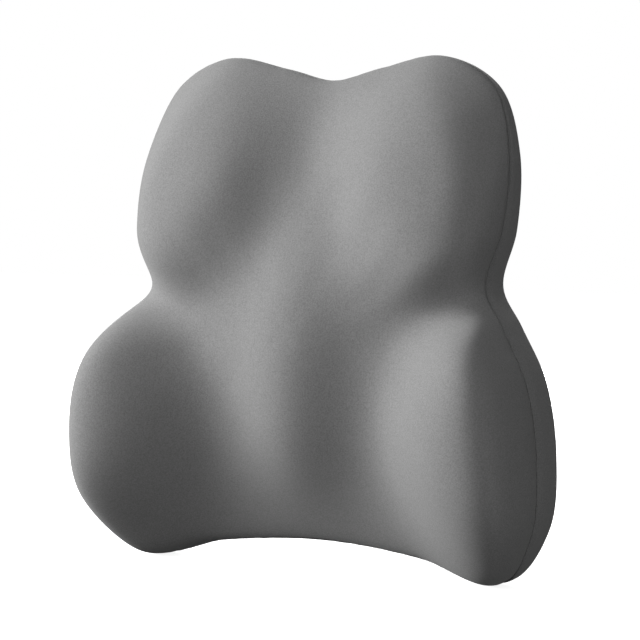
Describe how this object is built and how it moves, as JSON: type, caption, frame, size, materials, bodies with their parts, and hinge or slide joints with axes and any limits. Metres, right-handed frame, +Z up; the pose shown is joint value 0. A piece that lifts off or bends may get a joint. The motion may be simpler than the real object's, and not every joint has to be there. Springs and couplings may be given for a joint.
{
  "type": "lumbar support cushion",
  "caption": "Lobed foam cushion for the lower back, in a zipped knit cover, with an elastic strap that clips round a chair's backrest.",
  "frame": {"origin": "centre of the bounding box at its base, which the two lower lobes stand on", "axes": "+Z up, towards the shoulders; -Y is the sitter's side and +Y the side against the backrest; +X is the right-hand side as seen from the front"},
  "size_m": [0.4004, 0.1508, 0.4188],
  "materials": {
    "knit": "fine grey polyester knit, matt, with a faint nap",
    "knit_back": "grey polyester knit of the rear band and back panel, matt",
    "liner": "thin off-white tricot",
    "foam": "pale moulded slow-recovery polyurethane foam",
    "zip_tape": "woven polyester zip tape",
    "zip_coil": "nylon coil",
    "zinc": "nickel-plated die-cast zinc",
    "webbing": "woven elastic webbing, black",
    "webbing_patch": "woven reinforcement patch, black",
    "acetal": "moulded acetal, satin black"
  },
  "bodies": {
    "cushion": {"cover_front": "knit", "cover_back": "knit_back", "liner_front": "liner", "liner_back": "liner", "foam_core": "foam", "zip_tape_upper": "zip_tape", "zip_tape_lower": "zip_tape", "zip_coil_upper": "zip_coil", "zip_coil_lower": "zip_coil", "zip_top_stop_upper": "zinc", "zip_top_stop_lower": "zinc", "zip_bottom_stop": "zinc", "strap_patch_right": "webbing_patch", "strap_patch_left": "webbing_patch", "strap_right": "webbing", "strap_return": "webbing", "strap_left": "webbing", "buckle_socket": "acetal"},
    "slider": {"zip_slider": "zinc"},
    "pull": {"zip_pull": "zinc"},
    "plug": {"buckle_plug": "acetal"},
    "adjuster": {"strap_adjuster": "acetal"}
  },
  "joints": [
    {"name": "zip_slide", "type": "slide", "parent": "cushion", "child": "slider", "axis": [1, 0, 0], "range_m": [0, 0.22]},
    {"name": "pull_swing", "type": "hinge", "parent": "slider", "child": "pull", "pos_m": [-0.112, 0.06644, 0.07932], "axis": [0, 0, 1], "range_deg": [0, 180]},
    {"name": "buckle_release", "type": "slide", "parent": "cushion", "child": "plug", "axis": [-1, 0, 0], "range_m": [0, 0.02], "deforming": ["strap_left"]},
    {"name": "strap_adjust", "type": "slide", "parent": "cushion", "child": "adjuster", "axis": [1, 0, 0], "range_m": [-0.007, 0.008], "deforming": ["strap_return"]}
  ]
}
